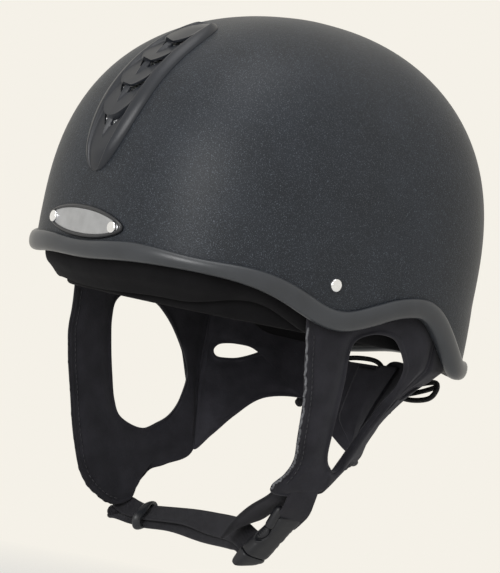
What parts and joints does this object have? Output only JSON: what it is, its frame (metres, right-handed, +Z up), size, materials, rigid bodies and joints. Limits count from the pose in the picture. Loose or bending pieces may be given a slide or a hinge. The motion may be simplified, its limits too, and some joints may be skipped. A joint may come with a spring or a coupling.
{
  "type": "riding helmet",
  "caption": "Peakless riding skull cap with a raised front vent, rubber edging, padded laced harness with ear openings, and a buckled chin strap.",
  "frame": {"origin": "middle of the head opening, in the plane of the headband", "axes": "+Z up to the crown, -Y to the front of the wearer, +X to the wearer's left"},
  "size_m": [0.2312, 0.2752, 0.3334],
  "materials": {
    "shell": "matt orange-peel paint with a fine sparkle",
    "edging": "satin",
    "foam": "rough moulded bead foam",
    "lining": "brushed knit",
    "vent": "satin",
    "mesh": "fine woven mesh",
    "bezel": "satin",
    "badge": "polished, bare",
    "rivet": "polished",
    "webbing": "flat weave",
    "suede": "short suede-like nap",
    "piping": "braided",
    "eyelet": "satin",
    "lace": "round braid",
    "keeper": "satin",
    "buckle": "satin, fine grain"
  },
  "bodies": {
    "helmet": {"outer_shell": "shell", "rim_trim": "edging", "impact_liner": "foam", "edge_roll": "lining", "crown_lining": "lining", "headband": "lining", "front_vent": "vent", "vent_mesh": "mesh", "badge_bezel": "bezel", "badge_plate": "badge", "badge_rivets": "rivet", "left_rivet": "rivet", "right_rivet": "rivet", "left_anchor": "webbing", "right_anchor": "webbing", "left_cheek": "suede", "right_cheek": "suede", "left_piping": "piping", "right_piping": "piping", "left_wing": "suede", "right_wing": "suede", "lace_eyelets": "eyelet", "nape_lace": "lace", "lace_bow": "lace"},
    "chin_loop": {"left_strap": "webbing", "chin_guard": "suede", "buckle_socket": "buckle", "chin_strap": "webbing", "strap_tail": "webbing"},
    "keeper": {"strap_keeper": "keeper"},
    "plug": {"buckle_plug": "buckle"},
    "rear_tab": {"left_tab": "buckle"},
    "front_tab": {"right_tab": "buckle"}
  },
  "joints": [
    {"name": "chin_swing", "type": "hinge", "parent": "helmet", "child": "chin_loop", "pos_m": [0.0226, -0.01426, -0.1439], "axis": [0.9821, 0, 0.1885], "range_deg": [-20, 20]},
    {"name": "keeper_slide", "type": "slide", "parent": "chin_loop", "child": "keeper", "axis": [0.9938, 0.0779, 0.0798], "range_m": [0, 0.024], "deforming": ["chin_strap", "strap_tail"]},
    {"name": "plug_release", "type": "slide", "parent": "chin_loop", "child": "plug", "axis": [-0.6181, -0.2882, -0.7314], "range_m": [0, 0.028], "deforming": ["chin_strap", "strap_tail", "left_tab", "right_tab"]},
    {"name": "rear_tab_squeeze", "type": "hinge", "parent": "plug", "child": "rear_tab", "pos_m": [0.05496, -0.01082, -0.17705], "axis": [0.7674, -0.0195, -0.6409], "range_deg": [0, 7.3], "stiffness_Nm_per_rad": 0.2},
    {"name": "front_tab_squeeze", "type": "hinge", "parent": "plug", "child": "front_tab", "pos_m": [0.05742, -0.0246, -0.1737], "axis": [-0.7674, 0.0195, 0.6409], "range_deg": [0, 7.3], "stiffness_Nm_per_rad": 0.2}
  ]
}
